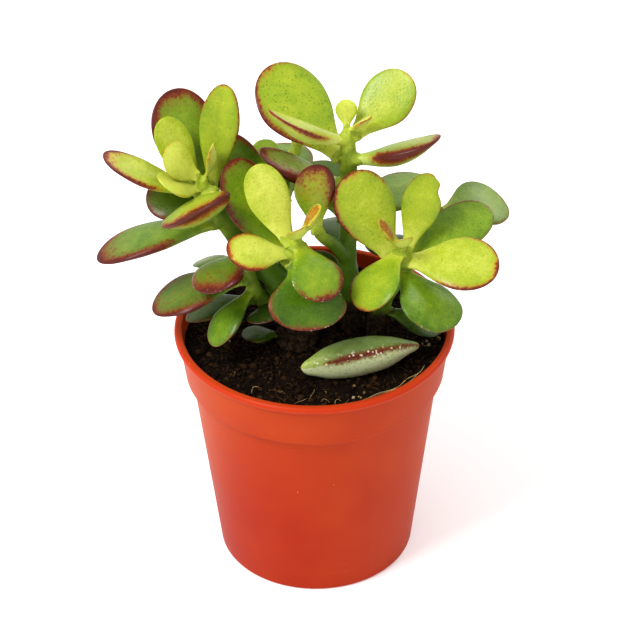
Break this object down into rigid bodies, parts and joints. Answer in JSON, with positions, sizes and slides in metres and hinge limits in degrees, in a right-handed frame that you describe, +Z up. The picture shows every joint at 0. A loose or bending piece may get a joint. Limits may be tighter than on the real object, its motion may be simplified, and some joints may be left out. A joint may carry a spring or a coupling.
{
  "type": "potted jade plant",
  "caption": "Jade plant with thick obovate red-edged leaves in opposite pairs on branching stems, growing from soil in a tapered round nursery pot with a collar.",
  "frame": {"origin": "centre of the pot's flat underside, where it stands", "axes": "+Z up through the pot's axis, -Y towards the side that is seen in the picture, +X to its right"},
  "size_m": [0.1313, 0.0903, 0.1709],
  "materials": {
    "pot": "satin moulded terracotta-coloured plastic",
    "soil": "rough, near-black peat and bark compost",
    "stem": "green to brown, ringed with leaf scars",
    "leaf": "smooth, waxy, green with red margins"
  },
  "bodies": {
    "root": {"fallen_leaf": "leaf", "leaf_corner_back": "leaf", "leaf_corner_low": "leaf", "leaf_corner_side": "leaf", "leaf_front_big_down": "leaf", "leaf_front_big_up": "leaf", "leaf_front_bud_a": "leaf", "leaf_front_bud_b": "leaf", "leaf_front_down": "leaf", "leaf_front_left": "leaf", "leaf_front_up": "leaf", "leaf_left_back": "leaf", "leaf_left_bud_a": "leaf", "leaf_left_bud_b": "leaf", "leaf_left_front": "leaf", "leaf_left_hidden": "leaf", "leaf_left_long": "leaf", "leaf_left_low_back": "leaf", "leaf_left_side": "leaf", "leaf_left_upright": "leaf", "leaf_left_young_back": "leaf", "leaf_left_young_front": "leaf", "leaf_low_dark": "leaf", "leaf_low_front": "leaf", "leaf_low_long": "leaf", "leaf_low_pale": "leaf", "leaf_low_small": "leaf", "leaf_low_under": "leaf", "leaf_rear_back": "leaf", "leaf_rear_edge": "leaf", "leaf_rear_left": "leaf", "leaf_rear_low": "leaf", "leaf_rear_side": "leaf", "leaf_right_back": "leaf", "leaf_right_big_up": "leaf", "leaf_right_bud_a": "leaf", "leaf_right_bud_b": "leaf", "leaf_right_front_left": "leaf", "leaf_right_ground": "leaf", "leaf_right_low": "leaf", "leaf_right_side": "leaf", "leaf_right_up": "leaf", "leaf_tall_big": "leaf", "leaf_tall_bud_a": "leaf", "leaf_tall_bud_b": "leaf", "leaf_tall_deep": "leaf", "leaf_tall_hidden": "leaf", "leaf_tall_low_left": "leaf", "leaf_tall_low_right": "leaf", "leaf_tall_right": "leaf", "leaf_tall_side": "leaf", "leaf_tall_upright": "leaf", "leaf_trunk_back": "leaf", "leaf_trunk_small": "leaf", "leaf_twig_up": "leaf", "pot": "pot", "soil": "soil", "stem_main": "stem", "stem_right": "stem", "stem_tall": "stem"}
  },
  "joints": []
}
